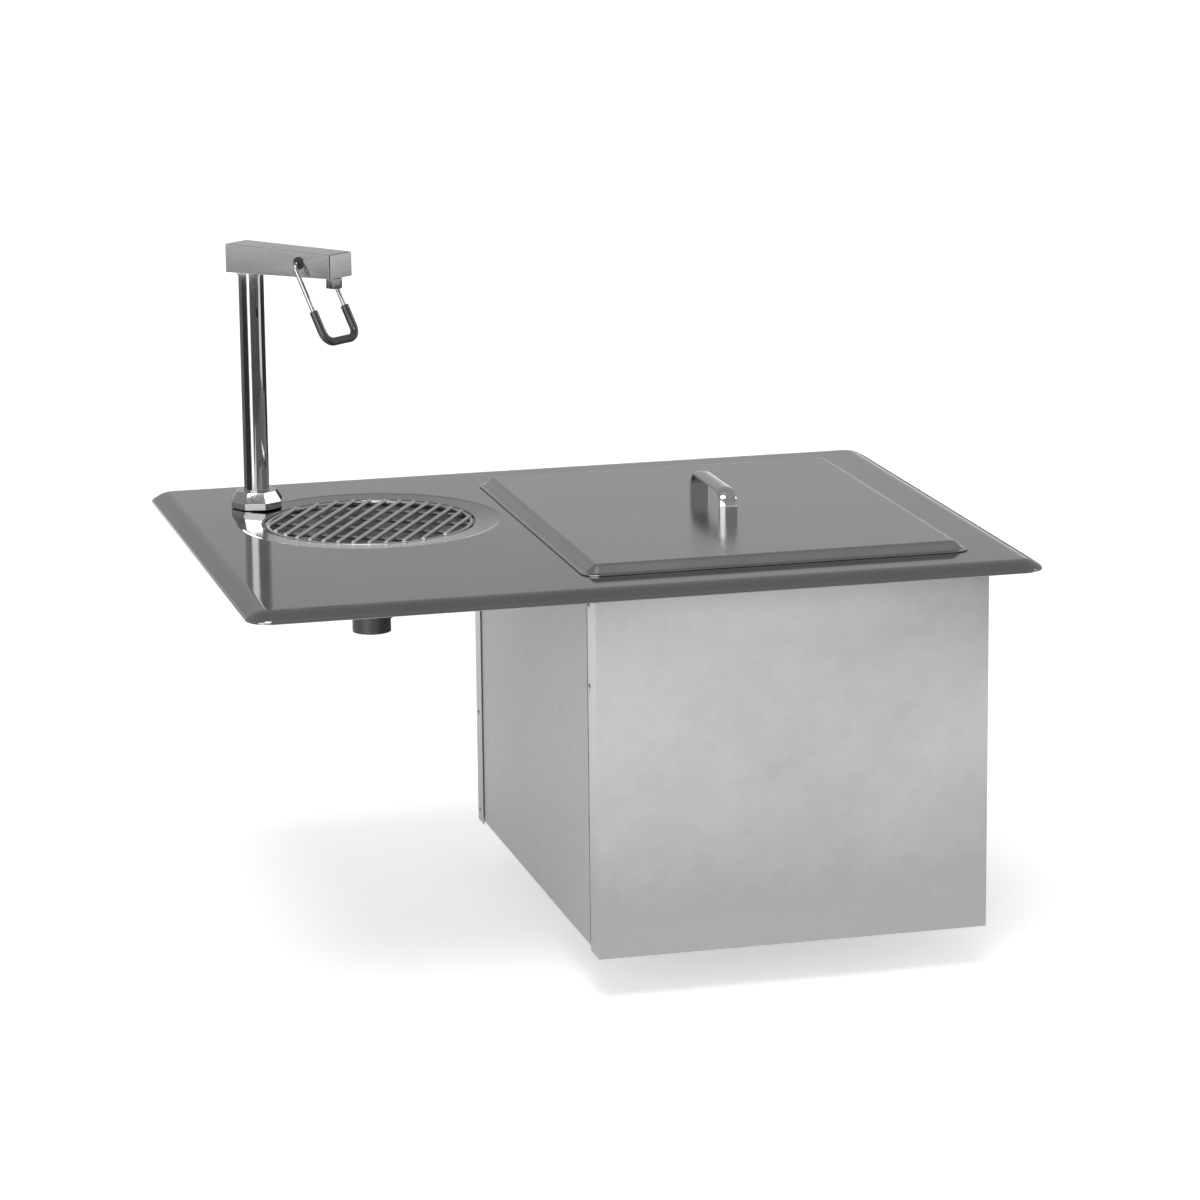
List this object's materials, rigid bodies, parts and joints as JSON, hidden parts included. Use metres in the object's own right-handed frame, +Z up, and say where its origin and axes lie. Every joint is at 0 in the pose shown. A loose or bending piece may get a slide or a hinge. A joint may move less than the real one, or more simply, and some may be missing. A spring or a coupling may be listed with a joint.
{
  "type": "drop-in ice bin",
  "caption": "Drop-in counter unit: insulated ice bin with a lift-off lid beside a drip pan with a grille and a push-lever glass filler on a post.",
  "frame": {"origin": "middle of the deck's rim, in the plane of its underside, where it sits on the counter", "axes": "+X along the deck's width towards the bin, +Y towards the back edge, +Z up"},
  "size_m": [0.66, 0.508, 0.5863],
  "materials": {
    "deck_steel": "polished",
    "liner_steel": "bright",
    "lid_steel": "satin",
    "case_zinc": "mottled galvanised sheet",
    "rivet_steel": "bright",
    "foam": "closed-cell insulating foam",
    "drain_steel": "bright",
    "chrome": "mirror polished",
    "arm_steel": "polished",
    "brass": "turned",
    "rubber": "matte",
    "grip_vinyl": "dipped, slightly glossy",
    "bush_plastic": "matte"
  },
  "bodies": {
    "deck": {"deck_top": "deck_steel", "bin_liner": "liner_steel", "foam_front": "foam", "foam_back": "foam", "foam_left": "foam", "foam_right": "foam", "foam_floor": "foam", "case_front": "case_zinc", "case_back": "case_zinc", "case_left": "case_zinc", "case_right": "case_zinc", "case_floor": "case_zinc", "case_rivets": "rivet_steel", "bin_strainer": "drain_steel", "bin_drain_body": "drain_steel", "bin_drain_gasket": "rubber", "bin_drain_washer": "rivet_steel", "bin_drain_nut": "brass", "pan_bowl": "liner_steel", "pan_strainer": "drain_steel", "pan_drain_body": "drain_steel", "pan_drain_gasket": "rubber", "pan_drain_washer": "rivet_steel", "pan_drain_nut": "brass", "filler_base": "chrome", "base_gasket": "rubber", "filler_post": "chrome", "post_collar": "chrome", "filler_shank": "brass", "shank_washer": "rivet_steel", "shank_nut": "brass", "supply_tube": "drain_steel", "filler_arm": "arm_steel", "arm_end_cap": "arm_steel", "outlet_nozzle": "chrome", "outlet_screen": "chrome", "valve_body": "brass", "valve_plug": "brass", "valve_seat": "rubber", "valve_spring": "drain_steel", "pivot_bushes": "bush_plastic"},
    "lid": {"lid_shell": "lid_steel", "lid_hem": "lid_steel", "lid_handle": "chrome", "handle_screws": "rivet_steel"},
    "grille": {"drip_grille": "chrome"},
    "lever": {"lever_bail": "chrome", "lever_cam": "brass", "lever_grip": "grip_vinyl"},
    "valve": {"valve_stem": "drain_steel"}
  },
  "joints": [
    {"name": "lid_lift", "type": "slide", "parent": "deck", "child": "lid", "axis": [0, 0, 1], "range_m": [0, 0.15]},
    {"name": "grille_lift", "type": "slide", "parent": "deck", "child": "grille", "axis": [0, 0, 1], "range_m": [0, 0.1]},
    {"name": "lever_push", "type": "hinge", "parent": "deck", "child": "lever", "pos_m": [-0.20922, 0.09909, 0.2295], "axis": [0.788, 0.6157, 0], "range_deg": [0, 18], "stiffness_Nm_per_rad": 0.2, "springref_deg": -17.19},
    {"name": "valve_press", "type": "slide", "parent": "deck", "child": "valve", "axis": [0, 0, -1], "range_m": [0, 0.002], "deforming": ["valve_spring"]}
  ],
  "couplings": [
    {"joint": "valve_press", "follows": "lever_push", "m_per_rad": 0.0063181}
  ]
}
